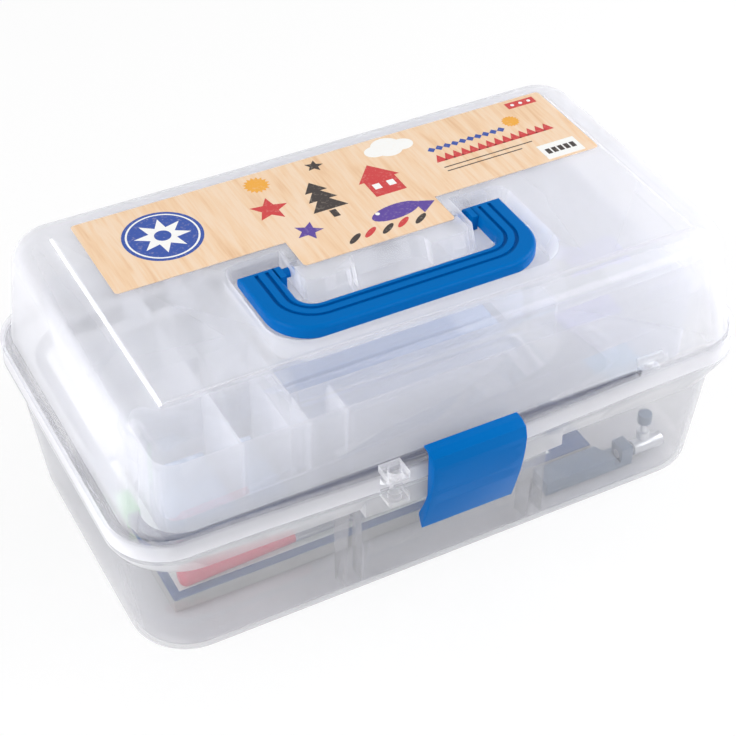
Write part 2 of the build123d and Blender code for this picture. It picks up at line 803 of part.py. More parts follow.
def saw_table():
    """Flat sawing table with a V-shaped notch in one end."""
    right_x = table_left_x + table_length
    middle_y = table_front_y + table_width / 2
    board = box(table_left_x, right_x, table_front_y, table_front_y + table_width,
                tub_floor, tub_floor + table_thickness)
    notch = Polyline([(right_x, middle_y - table_notch_width / 2),
                      (right_x, middle_y + table_notch_width / 2),
                      (right_x - table_notch_depth, middle_y)], close=True)
    return board - slab(make_face(notch), tub_floor, tub_floor + table_thickness)


def file_grip():
    """Turned grip, thickest at its end."""
    z = tub_floor + table_thickness + file_grip_radius
    grip = Cone(file_grip_radius, file_grip_neck_radius, file_grip_length)
    grip = fillet(grip.edges().group_by(Axis.Z)[0], file_grip_neck_radius)
    return Pos(file_x + file_grip_length / 2, file_y, z) * Rot(0, 90, 0) * grip


def file_blade():
    """Flat steel blade that leaves the grip's neck."""
    z = tub_floor + table_thickness + file_grip_radius
    start = file_x + file_grip_length
    low_y, high_y = file_y - file_blade_width / 2, file_y + file_blade_width / 2
    blade = box(start, start + file_blade_length, low_y, high_y, z - file_blade_thickness / 2,
                z + file_blade_thickness / 2)
    tip = (blade.edges() | Axis.Z).group_by(Axis.X)[-1]
    return fillet(tip, file_tip_radius)


def clamp_frame():
    """Table clamp lying flat: a jaw with a slanted end, and a boss for the screw."""
    low_y, high_y = clamp_y, clamp_y + clamp_depth
    frame = box(clamp_x, clamp_end_x, low_y, high_y, tub_floor, tub_floor + clamp_strap)
    jaw_x = clamp_x + clamp_jaw_length
    jaw = Polyline([(clamp_x, low_y), (jaw_x, low_y), (jaw_x - clamp_jaw_slant, high_y),
                    (clamp_x, high_y)], close=True)
    frame += slab(make_face(jaw), tub_floor, tub_floor + clamp_jaw_height)
    frame += box(clamp_end_x - clamp_boss_length, clamp_end_x, low_y, low_y + clamp_boss_depth,
                 tub_floor, tub_floor + clamp_boss_height)
    frame -= rod_x(clamp_screw_radius, clamp_end_x - clamp_boss_length, clamp_end_x,
                   clamp_screw_y, clamp_screw_z)
    return frame


def clamp_screw():
    """Clamp screw with its round head, drilled for the upright cross bar."""
    screw = rod_x(clamp_screw_radius, clamp_end_x - clamp_boss_length, clamp_head_x,
                  clamp_screw_y, clamp_screw_z)
    screw += rod_x(clamp_head_radius, clamp_head_x, clamp_head_x + clamp_head_length,
                   clamp_screw_y, clamp_screw_z)
    return screw - rod_z(cross_bar_radius, cross_bar_x, clamp_screw_y,
                         clamp_screw_z - clamp_head_radius, clamp_screw_z + clamp_head_radius)


def clamp_cross_bar():
    """Bar through the clamp screw's head, to turn it by, with a collar."""
    bar = rod_z(cross_bar_radius, cross_bar_x, clamp_screw_y,
                clamp_screw_z - clamp_head_radius, tub_floor + cross_bar_top)
    return bar + rod_z(cross_bar_collar_radius, cross_bar_x, clamp_screw_y,
                       tub_floor + cross_bar_collar_low, tub_floor + cross_bar_collar_high)


def clamp_knob():
    """Knob on the end of the cross bar."""
    low_z = tub_floor + cross_bar_top
    return rod_z(clamp_knob_radius, cross_bar_x, clamp_screw_y, low_z, low_z + clamp_knob_length)


def blade_packets():
    """Flat packets of fretsaw blades, side by side in the tray's right-hand bay."""
    packets = Part()
    low_x = channel_x + channel_width / 2 + packet_end_gap
    low_z = tray_floor_z + tray_wall
    for index in range(packet_count):
        low_y = trough_wall_y + packet_side_gap + index * packet_pitch
        packets += box(low_x, low_x + packet_length, low_y, low_y + packet_width,
                       low_z, low_z + packet_thickness)
    return packets


def hardware_bags():
    """Small bags of fixings in the two front bays at the left of the tray."""
    bags = Part()
    low_z = tray_floor_z + tray_wall
    margin = tray_wall + tray_draught + bag_gap
    low_y = -tray_half_width + margin
    high_y = cell_wall_y[0] - tray_rib / 2 - bag_gap
    left_bay = (-tray_half_length + margin, cell_wall_x - tray_rib / 2 - bag_gap)
    right_bay = (cell_wall_x + tray_rib / 2 + bag_gap, channel_x - channel_width / 2 - bag_gap)
    for low_x, high_x in (left_bay, right_bay):
        bag = box(low_x, high_x, low_y, high_y, low_z, low_z + bag_thickness)
        bag = fillet(bag.edges().group_by(Axis.Z)[-1], bag_edge_radius)
        bags += bag
    return bags


nodes = {
    "base_tub": base_tub,
    "lid": lid_shell,
    "carry_handle": carry_handle,
    "latch": latch,
    "hinge_pins": hinge_pins,
    "lift_out_tray": lift_out_tray,
    "lid_sheet": lid_sheet,
    "fretsaw_bow": lambda: bow_bar(0),
    "bow_clamps": bow_clamps,
    "wing_screws": wing_screws,
    "bow_band": bow_band,
    "saw_table": saw_table,
    "file_grip": file_grip,
    "file_blade": file_blade,
    "clamp_frame": clamp_frame,
    "clamp_screw": clamp_screw,
    "clamp_cross_bar": clamp_cross_bar,
    "clamp_knob": clamp_knob,
    "blade_packets": blade_packets,
    "hardware_bags": hardware_bags,
}

os.makedirs("parts", exist_ok=True)
for name, make in nodes.items():
    export_step(make(), f"parts/{name}.step")
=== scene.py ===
# %% [markdown]
# # A translucent tool case
#
# The real object is a case moulded in natural, uncoloured polypropylene. Its tub and lid are thin
# shells that let light through and veil what lies behind them, so the tray and the tools inside are
# half seen. On top lies a blue folding handle, and a printed sheet is stuck on the lid.
#
# The shells, the handle and the tools come measured from the frame. This script gives them soft
# moulded edges, their finishes, the print on the sheet, the light and the camera.

import json
import math

import bpy
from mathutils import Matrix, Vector

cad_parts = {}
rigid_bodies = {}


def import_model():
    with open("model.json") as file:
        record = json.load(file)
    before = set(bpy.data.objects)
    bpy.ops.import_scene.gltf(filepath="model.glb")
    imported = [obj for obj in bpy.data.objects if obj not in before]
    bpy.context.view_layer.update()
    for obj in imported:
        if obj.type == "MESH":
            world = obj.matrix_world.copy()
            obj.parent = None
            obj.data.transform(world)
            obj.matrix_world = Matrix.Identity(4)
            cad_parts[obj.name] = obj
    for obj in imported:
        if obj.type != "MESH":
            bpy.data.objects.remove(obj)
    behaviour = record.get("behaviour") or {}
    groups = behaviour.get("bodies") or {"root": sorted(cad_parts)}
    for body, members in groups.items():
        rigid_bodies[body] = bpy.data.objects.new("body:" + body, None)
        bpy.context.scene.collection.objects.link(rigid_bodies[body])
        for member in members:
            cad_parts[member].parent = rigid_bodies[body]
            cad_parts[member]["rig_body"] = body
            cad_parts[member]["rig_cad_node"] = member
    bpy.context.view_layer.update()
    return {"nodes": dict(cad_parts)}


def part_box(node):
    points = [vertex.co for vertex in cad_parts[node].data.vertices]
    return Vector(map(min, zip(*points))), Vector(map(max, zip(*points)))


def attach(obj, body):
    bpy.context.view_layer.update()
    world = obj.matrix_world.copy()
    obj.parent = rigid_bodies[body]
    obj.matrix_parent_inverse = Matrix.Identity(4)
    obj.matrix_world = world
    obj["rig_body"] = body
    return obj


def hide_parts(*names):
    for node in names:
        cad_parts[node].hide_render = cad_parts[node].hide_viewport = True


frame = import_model()
nodes = frame["nodes"]
MM = 0.001


# %% [markdown]
# ## Small helpers for materials
#
# Colours are written as they look on a screen, in sRGB hex, and Cycles works in linear light, so one
# function turns the one into the other. Another adds a node with its settings and its inputs. Each
# material below is then a short list of nodes that can be read from top to bottom.

# %% Colour and node helpers
def linear(hex_colour):
    """An sRGB hex colour as the linear numbers that the shaders take, by the sRGB standard."""
    channels = [int(hex_colour[i:i + 2], 16) / 255 for i in (1, 3, 5)]
    return [c / 12.92 if c <= 0.04045 else ((c + 0.055) / 1.055) ** 2.4 for c in channels] + [1.0]


def new_material(name):
    """An empty material with only its output node."""
    material = bpy.data.materials.new(name)
    material.use_nodes = True
    material.node_tree.nodes.clear()
    material.node_tree.nodes.new("ShaderNodeOutputMaterial")
    return material


def node(owner, kind, inputs, **settings):
    """Adds a node to a material or world. Its inputs are values, or sockets to link from."""
    made = owner.node_tree.nodes.new("ShaderNode" + kind)
    for key, value in settings.items():
        setattr(made, key, value)
    for key, value in inputs.items():
        if isinstance(value, bpy.types.NodeSocket):
            owner.node_tree.links.new(value, made.inputs[key])
        else:
            made.inputs[key].default_value = value
    return made


def finish_with(material, socket):
    """Joins the last shader to the material's output."""
    output = material.node_tree.nodes["Material Output"]
    material.node_tree.links.new(socket, output.inputs["Surface"])
    return material


def through_stops(ramp, stops):
    """Gives a colour ramp its (position, hex colour) stops, and returns its colour."""
    elements = ramp.color_ramp.elements
    while len(elements) < len(stops):
        elements.new(0.5)
    for element, (position, hex_colour) in zip(elements, stops):
        element.position = position
        element.color = linear(hex_colour)
    return ramp.outputs["Color"]


# %% [markdown]
# ## Natural polypropylene
#
# Uncoloured polypropylene is neither clear nor white. Most of the light goes straight through a wall
# two millimetres thick, so what lies behind it keeps its outline, but the crystals in the plastic
# scatter a part of the light and lay an even white veil over it. One glass shader alone would look
# like acrylic, and one translucent shader alone like paper. So a wall mixes three things: light that
# goes straight on, light that is bent as in glass, which draws the edges, and a milky share that
# takes light from both sides.
#
# Light that crosses a wall at a slant meets more plastic, so the milk grows with the slant, and
# rounded edges and ribs come out white. The lid's shoulder is thin, so the dark bow shows clearly
# through it, and the thick rims of tub and lid are milkier than the walls.
#
# Lamps can't find their way through bent glass, so for shadow rays the wall is plainly transparent,
# and a little of the light is lost in it.

# %% Clear plastic
POLYPROPYLENE_IOR = 1.49
BENT_SHINE = 0.2
# The mould's finish differs a little from place to place, over clouds of this size.
FINISH_CLOUD_MM = 40


def clear_plastic(material, place, tint, bent_share, roughness):
    """Light that goes straight on, mixed with light that is bent as in glass."""
    clouds = node(material, "TexNoise", {"Vector": place, "Scale": 1 / (FINISH_CLOUD_MM * MM),
                                         "Detail": 2.0})
    sheen = node(material, "MapRange", {
        "Value": clouds.outputs["Fac"], "From Min": 0.3, "From Max": 0.7,
        "To Min": roughness * 0.8, "To Max": roughness * 1.2})
    bent = node(material, "BsdfPrincipled", {
        "Base Color": linear(tint), "Roughness": sheen.outputs["Result"], "IOR": POLYPROPYLENE_IOR,
        "Transmission Weight": 1.0, "Specular IOR Level": BENT_SHINE})
    straight = node(material, "BsdfTransparent", {"Color": linear(tint)})
    return node(material, "MixShader", {0: bent_share, 1: straight.outputs[0],
                                        2: bent.outputs[0]}).outputs[0]


# %% Milk in the plastic
# The milk glows with light from behind, and its skin takes the larger share from the front.
SKIN_SHARE, SKIN_ROUGHNESS, SKIN_SHINE = 0.6, 0.24, 0.3
# Above 1, the milk only grows where the wall is seen well aslant.
SLANT_POWER = 2.5


def milk(material, milk_colour):
    """The milky shader: a translucent cloud under a satin skin."""
    cloud = node(material, "BsdfTranslucent", {"Color": linear(milk_colour)})
    skin = node(material, "BsdfPrincipled", {
        "Base Color": linear(milk_colour), "Roughness": SKIN_ROUGHNESS, "IOR": POLYPROPYLENE_IOR,
        "Specular IOR Level": SKIN_SHINE})
    return node(material, "MixShader", {0: SKIN_SHARE, 1: cloud.outputs[0],
                                        2: skin.outputs[0]}).outputs[0]


def milk_share(material, place, facing_milk, slant_milk, zones):
    """How much of the wall is milk. A zone is ((low mm, high mm), times as milky)."""
    slant = node(material, "LayerWeight", {"Blend": 0.5}).outputs["Facing"]
    steep = node(material, "Math", {0: slant, 1: SLANT_POWER}, operation="POWER")
    grown = node(material, "MapRange", {"Value": steep.outputs[0], "To Min": facing_milk,
                                        "To Max": slant_milk})
    share = grown.outputs["Result"]
    height = node(material, "SeparateXYZ", {"Vector": place}).outputs["Z"]
    for (low_mm, high_mm), times in zones:
        inside = node(material, "Math", {0: height, 1: (low_mm + high_mm) / 2 * MM,
                                         2: (high_mm - low_mm) / 2 * MM}, operation="COMPARE")
        factor = node(material, "MapRange", {"Value": inside.outputs[0], "To Min": 1.0,
                                             "To Max": times})
        share = node(material, "Math", {0: share, 1: factor.outputs["Result"]},
                     operation="MULTIPLY", use_clamp=True).outputs[0]
    return share


# %% Natural polypropylene
def natural_polypropylene(name, tint, milk_colour, shadow_tint, facing_milk, slant_milk,
                          bent_share=0.2, roughness=0.03, zones=()):
    """A moulded wall: clear plastic veiled with milk, and plainly transparent to shadow rays."""
    material = new_material(name)
    place = node(material, "TexCoord", {}).outputs["Object"]
    clear = clear_plastic(material, place, tint, bent_share, roughness)
    milky = milk(material, milk_colour)
    share = milk_share(material, place, facing_milk, slant_milk, zones)
    wall = node(material, "MixShader", {0: share, 1: clear, 2: milky})
    lit_through = node(material, "BsdfTransparent", {"Color": linear(shadow_tint)})
    shadow = node(material, "LightPath", {}).outputs["Is Shadow Ray"]
    both = node(material, "MixShader", {0: shadow, 1: wall.outputs[0], 2: lit_through.outputs[0]})
    return finish_with(material, both.outputs[0])


# Heights on the case: the tub's flared rim, the lid's skirt, and the lid's shoulder above it.
RIM_MM, SKIRT_MM, SHOULDER_MM = (66, 79.8), (80, 88.6), (88.6, 91.3)

lid_plastic = natural_polypropylene(
    "natural_polypropylene_lid", "#FEFEFF", "#F7F7FA", "#FDFDFE", facing_milk=0.21,
    slant_milk=0.85, zones=[(SKIRT_MM, 1.8), (SHOULDER_MM, 0.25)])
# The tub is the lid's plastic with a greyer milk and tint: painted shade for its walls, which get
# less light.
tub_plastic_greyed_as_shade = natural_polypropylene(
    "natural_polypropylene_tub_greyed_as_shade", "#F8F8F9", "#E8E8EA", "#F9F9FA", facing_milk=0.13,
    slant_milk=0.5, bent_share=0.06, zones=[(RIM_MM, 2.4)])
tray_plastic = natural_polypropylene(
    "natural_polypropylene_tray", "#FBFCFE", "#F4F5F9", "#FBFBFD", facing_milk=0.2,
    slant_milk=0.8)
print("Natural plastics:", lid_plastic.name, tub_plastic_greyed_as_shade.name, tray_plastic.name)


# %% [markdown]
# ## Solid plastics, enamel and metal
#
# The handle and the latch are the same polypropylene with a blue pigment. A mould leaves a fine even
# grain on it, which spreads the highlights. Enamel on steel is a coat that flows before it hardens,
# so its grain is wider and gentler. Plated and ground steel are metals: their colour tints the
# reflection, and they keep the default index of refraction.

# %% Solid finishes
def grained(name, hex_colour, roughness, grain_mm=0.5, depth_mm=0.02, shine=0.5):
    """An opaque plastic or enamel with a fine grain, which is a bump in its surface."""
    material = new_material(name)
    place = node(material, "TexCoord", {}).outputs["Object"]
    grain = node(material, "TexNoise", {"Vector": place, "Scale": 1 / (grain_mm * MM)})
    bump = node(material, "Bump", {"Height": grain.outputs["Fac"], "Strength": 0.25,
                                   "Distance": depth_mm * MM})
    shader = node(material, "BsdfPrincipled", {
        "Base Color": linear(hex_colour), "Roughness": roughness, "IOR": POLYPROPYLENE_IOR,
        "Specular IOR Level": shine, "Normal": bump.outputs["Normal"]})
    return finish_with(material, shader.outputs[0])


def metal(name, hex_colour, roughness, scratch_mm, stretch):
    """Bare or plated steel. Fine marks, as long as the stretch makes them, break its reflection."""
    material = new_material(name)
    place = node(material, "TexCoord", {}).outputs["Object"]
    along = node(material, "Mapping", {"Vector": place, "Scale": stretch})
    marks = node(material, "TexNoise", {"Vector": along.outputs[0], "Scale": 1 / (scratch_mm * MM),
                                        "Detail": 3.0})
    sheen = node(material, "MapRange", {"Value": marks.outputs["Fac"], "To Min": roughness * 0.7,
                                        "To Max": roughness * 1.4})
    shader = node(material, "BsdfPrincipled", {
        "Base Color": linear(hex_colour), "Metallic": 1.0, "Roughness": sheen.outputs["Result"]})
    return finish_with(material, shader.outputs[0])


# The blue plastic mirrors little of the sky, and shows the lamps only along its rounded bends.
blue_polypropylene = grained("blue_polypropylene", "#0066B2", 0.24, shine=0.05)
# The file's grip is a satin plastic, which looks even all over.
red_plastic = grained("red_moulded_grip", "#D2405A", 0.4)
# The bow's enamel is smooth and shows bright lines along its wire. The clamp's is duller.
bow_enamel = grained("navy_enamel", "#0F1B3E", 0.22, grain_mm=2.0, depth_mm=0.01)
clamp_enamel = grained("slate_enamel", "#61758C", 0.35, grain_mm=1.2, depth_mm=0.03)
# Zinc plate has marks that run no special way, and ground steel has them along the file.
zinc_plate = metal("bright_zinc_plate", "#F0F2F5", 0.3, scratch_mm=0.8, stretch=(1, 1, 1))
ground_steel = metal("ground_steel", "#C9CCD2", 0.35, scratch_mm=0.4, stretch=(0.05, 1, 1))
print("Materials so far:", len(bpy.data.materials))


# %% [markdown]
# ## Painted board, card and film
#
# The saw table is plywood under blue paint: the wood's grain still shows as shallow streaks along the
# board, and its edges are bare, in a flat grey darker than the wood that is painted shade. Packets of
# blades are printed card sleeves, and the small bags are clear film over screws, so from outside they
# are a mottled blue grey.

# %% Painted and bare plywood
PLY_GRAIN_MM, PLY_RELIEF_MM = 2.5, 0.1
PLY_SQUEEZE = 0.08


def plywood(name, dark, light, roughness):
    """Plywood, painted or bare: noise squeezed to shallow streaks of grain along the board."""
    material = new_material(name)
    place = node(material, "TexCoord", {}).outputs["Object"]
    along = node(material, "Mapping", {"Vector": place, "Scale": (PLY_SQUEEZE, 1, 1)})
    grain = node(material, "TexNoise", {"Vector": along.outputs[0],
                                        "Scale": 1 / (PLY_GRAIN_MM * MM), "Detail": 4.0})
    ramp = node(material, "ValToRGB", {"Fac": grain.outputs["Fac"]})
    colour = through_stops(ramp, [(0.3, dark), (0.7, light)])
    bump = node(material, "Bump", {"Height": grain.outputs["Fac"], "Strength": 0.3,
                                   "Distance": PLY_RELIEF_MM * MM})
    shader = node(material, "BsdfPrincipled", {
        "Base Color": colour, "Roughness": roughness, "Normal": bump.outputs["Normal"]})
    return finish_with(material, shader.outputs[0])


board_paint = plywood("blue_paint_on_plywood", "#043C74", "#0A4884", 0.6)
# Bare plywood edges in a flat grey, darker than the wood: painted shade.
plywood_edge_in_painted_shade = plywood("plywood_edge_grey_as_shade", "#9A9A98", "#A9A9A6", 0.7)
print("Plywood:", board_paint.name, plywood_edge_in_painted_shade.name)


# %% Printed card
# Blender's wave texture runs through this many radians for each unit of its scale.
WAVE_RADIANS = 20


def striped_card(name, dark, light, pitch_mm):
    """Printed card: bands of two colours, one pair of them for each pitch."""
    material = new_material(name)
    place = node(material, "TexCoord", {}).outputs["Object"]
    scale = 2 * math.pi / (WAVE_RADIANS * pitch_mm * MM)
    bands = node(material, "TexWave", {"Vector": place, "Scale": scale}, wave_type="BANDS",
                 bands_direction="X")
    ramp = node(material, "ValToRGB", {"Fac": bands.outputs["Fac"]})
    colour = through_stops(ramp, [(0.45, dark), (0.55, light)])
    shader = node(material, "BsdfPrincipled", {"Base Color": colour, "Roughness": 0.5})
    return finish_with(material, shader.outputs[0])


packet_card = striped_card("printed_card_sleeve", "#7F97C0", "#A9BAD6", pitch_mm=188.5)
band_card = striped_card("green_printed_band", "#5FA35E", "#A9D3A0", pitch_mm=25.13)
print("Card:", packet_card.name, band_card.name)


# %% Film over screws
def filled_bag(name, dark, light, screw_mm, lump_mm):
    """Clear film drawn tight over small screws: a mottled colour and a lumpy surface."""
    material = new_material(name)
    place = node(material, "TexCoord", {}).outputs["Object"]
    screws = node(material, "TexVoronoi", {"Vector": place, "Scale": 1 / (screw_mm * MM)})
    ramp = node(material, "ValToRGB", {"Fac": screws.outputs["Distance"]})
    colour = through_stops(ramp, [(0.1, dark), (0.8, light)])
    bump = node(material, "Bump", {"Height": screws.outputs["Distance"], "Strength": 0.6,
                                   "Distance": lump_mm * MM})
    shader = node(material, "BsdfPrincipled", {
        "Base Color": colour, "Roughness": 0.25, "Normal": bump.outputs["Normal"]})
    return finish_with(material, shader.outputs[0])


bag_film = filled_bag("film_over_screws", "#8FA3B8", "#C3D0DE", screw_mm=5, lump_mm=0.6)
print("Film:", bag_film.name)


# %% [markdown]
# ## Soft moulded edges
#
# The frame's solids have sharp edges, and no moulded part has. A sharp edge shows as a hard line,
# and a rounded one catches the light along it. A copy of a node is merged, flat areas lose their
# needless edges, and a bevel rounds the rest. The copy then stands in for the node. A node that
# comes with round edges, such as the handle, is only smoothed.

# %% Rounding and dressing
MERGE_MM = 0.002
FLAT_DEGREES = 0.5
SOFT_SEGMENTS = 2


def only(piece):
    """Selects one piece and nothing else."""
    bpy.ops.object.select_all(action="DESELECT")
    piece.select_set(True)
    bpy.context.view_layer.objects.active = piece


def bevelled(piece, edge_mm, segments, angle):
    """Rounds the edges of the active piece at which it turns by more than an angle."""
    bevel = piece.modifiers.new("edges", "BEVEL")
    bevel.width = edge_mm * MM
    bevel.segments = segments
    bevel.limit_method = "ANGLE"
    bevel.angle_limit = math.radians(angle)
    bpy.ops.object.modifier_apply(modifier="edges")


def placed(piece, body, material):
    """Dresses a piece and puts it on its body."""
    piece.data.materials.clear()
    piece.data.materials.append(material)
    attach(piece, body)
    print(piece.name, "has", len(piece.data.polygons), "faces")
    return piece


def softened(node_name, body, material, edge_mm=0, angle=30):
    """A copy of a CAD node with its edges rounded, dressed in a material, in the node's place."""
    only(nodes[node_name])
    bpy.ops.object.duplicate()
    piece = bpy.context.active_object
    bpy.ops.object.parent_clear(type="CLEAR_KEEP_TRANSFORM")
    piece.name = node_name + "_moulded"
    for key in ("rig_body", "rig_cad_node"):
        del piece[key]
    bpy.ops.object.mode_set(mode="EDIT")
    bpy.ops.mesh.select_all(action="SELECT")
    bpy.ops.mesh.remove_doubles(threshold=MERGE_MM * MM)
    bpy.ops.mesh.customdata_custom_splitnormals_clear()
    bpy.ops.mesh.dissolve_limited(angle_limit=math.radians(FLAT_DEGREES))
    bpy.ops.object.mode_set(mode="OBJECT")
    if edge_mm:
        bevelled(piece, edge_mm, SOFT_SEGMENTS, angle)
    bpy.ops.object.shade_smooth_by_angle(angle=math.radians(angle))
    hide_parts(node_name)
    return placed(piece, body, material)


# %% Shells, handle and latch
softened("base_tub", "base", tub_plastic_greyed_as_shade, edge_mm=0.35)
softened("lid", "lid", lid_plastic, edge_mm=0.35)
softened("lift_out_tray", "tray", tray_plastic, edge_mm=0.3)
softened("carry_handle", "handle", blue_polypropylene)
softened("latch", "latch", blue_polypropylene, edge_mm=0.4, angle=40)


# %% [markdown]
# ## The tools in the tub
#
# A fretsaw bow of enamelled steel runs round the tub at the height of its rim, with bright clamps and
# wing screws for the blade. The saw table lies on the floor, with a file on it and a small clamp
# beside it. All of them are seen through the plastic, so broad soft edges are enough. Only the
# table's upper side is painted blue, so its faces are sorted by which way they look, and its bare
# edges get a flat grey that is painted shade.

# %% The bow and its clamps
softened("fretsaw_bow", "base", bow_enamel, edge_mm=1.6, angle=60)
softened("bow_clamps", "base", zinc_plate, edge_mm=0.6)
softened("wing_screws", "base", zinc_plate, edge_mm=0.4)
softened("bow_band", "base", band_card, edge_mm=0.1)

# %% Saw table
# A face looks upwards where its normal's height is above this, bevels among them.
UPWARDS = 0.3
board = softened("saw_table", "base", board_paint, edge_mm=0.6)
board.data.materials.append(plywood_edge_in_painted_shade)
PAINTED, EDGE_IN_PAINTED_SHADE = 0, 1
# Faces that don't look upwards get the grey of painted shade.
for face in board.data.polygons:
    face.material_index = PAINTED if face.normal.z > UPWARDS else EDGE_IN_PAINTED_SHADE

# %% File, clamp and hinge pins
softened("file_grip", "base", red_plastic)
softened("file_blade", "base", ground_steel, edge_mm=0.3)
softened("clamp_frame", "base", clamp_enamel, edge_mm=0.8)
softened("clamp_screw", "base", zinc_plate, edge_mm=0.4)
softened("clamp_cross_bar", "base", zinc_plate, edge_mm=0.4)
softened("clamp_knob", "base", clamp_enamel, edge_mm=0.8)
softened("hinge_pins", "base", ground_steel, edge_mm=0.2)

# %% Packets and bags in the tray
softened("blade_packets", "tray", packet_card, edge_mm=0.6)
softened("hardware_bags", "tray", bag_film)


# %% [markdown]
# ## Bead on the lid
#
# A narrow bead runs along three edges of the lid's top. Its left arm is solid and rounded, and here
# it is a bar with rounded edges, sunk into the lid, in a far whiter milk than the walls: a painted
# highlight for the one line that the left lamp draws along it. The other arms keep the lid's plastic.

# %% The bead
BEAD_FROM_END_MM, BEAD_FRONT_MM, BEAD_REAR_MM = 30.5, -73.8, 62.0
BEAD_WIDTH_MM, BEAD_SUNK_MM, BEAD_PROUD_MM, BEAD_RADIUS_MM = 1.6, 1.4, 0.05, 0.7
SMOOTH_DEGREES = 40


def box_piece(name, low_mm, high_mm):
    """A box between two corners, with its place in its mesh."""
    bpy.ops.object.select_all(action="DESELECT")
    middle = [(low + high) / 2 * MM for low, high in zip(low_mm, high_mm)]
    bpy.ops.mesh.primitive_cube_add(size=MM, location=middle)
    piece = bpy.context.active_object
    piece.name = name
    piece.scale = [high - low for low, high in zip(low_mm, high_mm)]
    bpy.ops.object.transform_apply(location=True, rotation=False, scale=True)
    return piece


lid_low, lid_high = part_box("lid")
lid_top_mm = lid_high.z / MM
bead_x_mm = lid_low.x / MM + BEAD_FROM_END_MM
bead = box_piece(
    "lid_left_bead_painted_highlight",
    (bead_x_mm - BEAD_WIDTH_MM / 2, BEAD_FRONT_MM, lid_top_mm - BEAD_SUNK_MM),
    (bead_x_mm + BEAD_WIDTH_MM / 2, BEAD_REAR_MM, lid_top_mm + BEAD_PROUD_MM))
bevelled(bead, BEAD_RADIUS_MM, segments=3, angle=30)
bpy.ops.object.shade_smooth_by_angle(angle=math.radians(SMOOTH_DEGREES))
# Near-white milk all through the bar: a painted highlight along the left arm.
bead_plastic_painted_highlight = natural_polypropylene(
    "natural_polypropylene_bead_painted_highlight", "#FFFFFF", "#FFFFFF", "#FFFFFF", facing_milk=0.7,
    slant_milk=0.95, bent_share=0.3, roughness=0.05)
placed(bead, "lid", bead_plastic_painted_highlight)


# %% [markdown]
# ## Small flat things
#
# A pattern sheet lies on the saw table under the file, and hides most of the blue paint. Two small
# cards lie loose in the tray. Paper that has lain in a case isn't flat, so each sheet is divided and
# one corner is lifted a little, with the fall-off of proportional editing.

# %% Sheets and cards
SHEET_CUTS = 7
LIFTED_SHARE = 0.7
CORNER_REACH_MM = 0.5
PAPER_CLOUD_MM = 6


def sheet_of_paper(name, low_mm, size_mm, lift_mm, body, material):
    """A thin sheet with its right rear corner lifted."""
    high_mm = [low + size for low, size in zip(low_mm, size_mm)]
    piece = box_piece(name, low_mm, high_mm)
    bpy.ops.object.mode_set(mode="EDIT")
    bpy.ops.mesh.select_all(action="SELECT")
    bpy.ops.mesh.subdivide(number_cuts=SHEET_CUTS)
    bpy.ops.mesh.select_mode(type="VERT")
    bpy.ops.mesh.select_all(action="DESELECT")
    bpy.ops.object.mode_set(mode="OBJECT")
    for vertex in piece.data.vertices:
        vertex.select = all(abs(vertex.co[axis] / MM - high_mm[axis]) < CORNER_REACH_MM
                            for axis in (0, 1))
    bpy.ops.object.mode_set(mode="EDIT")
    bpy.ops.transform.translate(value=(0, 0, lift_mm * MM), use_proportional_edit=True,
                                proportional_edit_falloff="SMOOTH",
                                proportional_size=min(size_mm[:2]) * LIFTED_SHARE * MM)
    bpy.ops.object.mode_set(mode="OBJECT")
    bpy.ops.object.shade_smooth_by_angle(angle=math.radians(SMOOTH_DEGREES))
    return placed(piece, body, material)


def uncoated_paper(name, hex_colour):
    """Uncoated paper: faint clouds of its fibres."""
    material = new_material(name)
    place = node(material, "TexCoord", {}).outputs["Object"]
    fibres = node(material, "TexNoise", {"Vector": place, "Scale": 1 / (PAPER_CLOUD_MM * MM),
                                         "Detail": 4.0})
    light = node(material, "MapRange", {"Value": fibres.outputs["Fac"], "To Min": 0.94,
                                        "To Max": 1.04})
    colour = node(material, "HueSaturation", {"Value": light.outputs["Result"],
                                              "Color": linear(hex_colour)})
    shader = node(material, "BsdfPrincipled", {"Base Color": colour.outputs[0],
                                               "Roughness": 0.6})
    return finish_with(material, shader.outputs[0])


# %% The pattern sheet
# The sheet leaves a border of blue board at the left and the front, and lies a hair above it.
BORDER_MM, SHEET_GAP_MM = 4.5, 0.05
table_low, table_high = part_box("saw_table")
sheet_of_paper(
    "pattern_sheet",
    (table_low.x / MM + BORDER_MM, table_low.y / MM + BORDER_MM, table_high.z / MM + SHEET_GAP_MM),
    size_mm=(212.5, 101.5, 0.25), lift_mm=0.6, body="base",
    material=uncoated_paper("pattern_paper", "#E4EAE6"))

# %% Cards in the tray
TRAY_FLOOR_MM, CARD_GAP_MM, CARD_MM = 1.6, 0.1, 1.0
card_low_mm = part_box("lift_out_tray")[0].z / MM + TRAY_FLOOR_MM + CARD_GAP_MM
sheet_of_paper(
    "violet_card", (98, -46, card_low_mm), size_mm=(34, 26, CARD_MM), lift_mm=1.5, body="tray",
    material=uncoated_paper("violet_card", "#8C86D8"))
sheet_of_paper(
    "pale_blue_card", (92, -70, card_low_mm), size_mm=(26, 12, CARD_MM), lift_mm=1.0, body="tray",
    material=uncoated_paper("pale_blue_card", "#86C2E4"))


# %% [markdown]
# ## The printed sheet
#
# The sheet is glossy paper printed with pale wood. Real wood print has long streaks across the sheet,
# with a few darker lines among them. Noise that is stretched along the grain gives the streaks, and a
# second, finer one the pores. A thin clear coat gives the gloss.

# %% Wood print
STREAK_MM, PORE_MM = 5.0, 1.2
GRAIN_TURN = 0.12
GLOSSY_PRINT = {"Roughness": 0.35, "Coat Weight": 0.3, "Coat Roughness": 0.12}


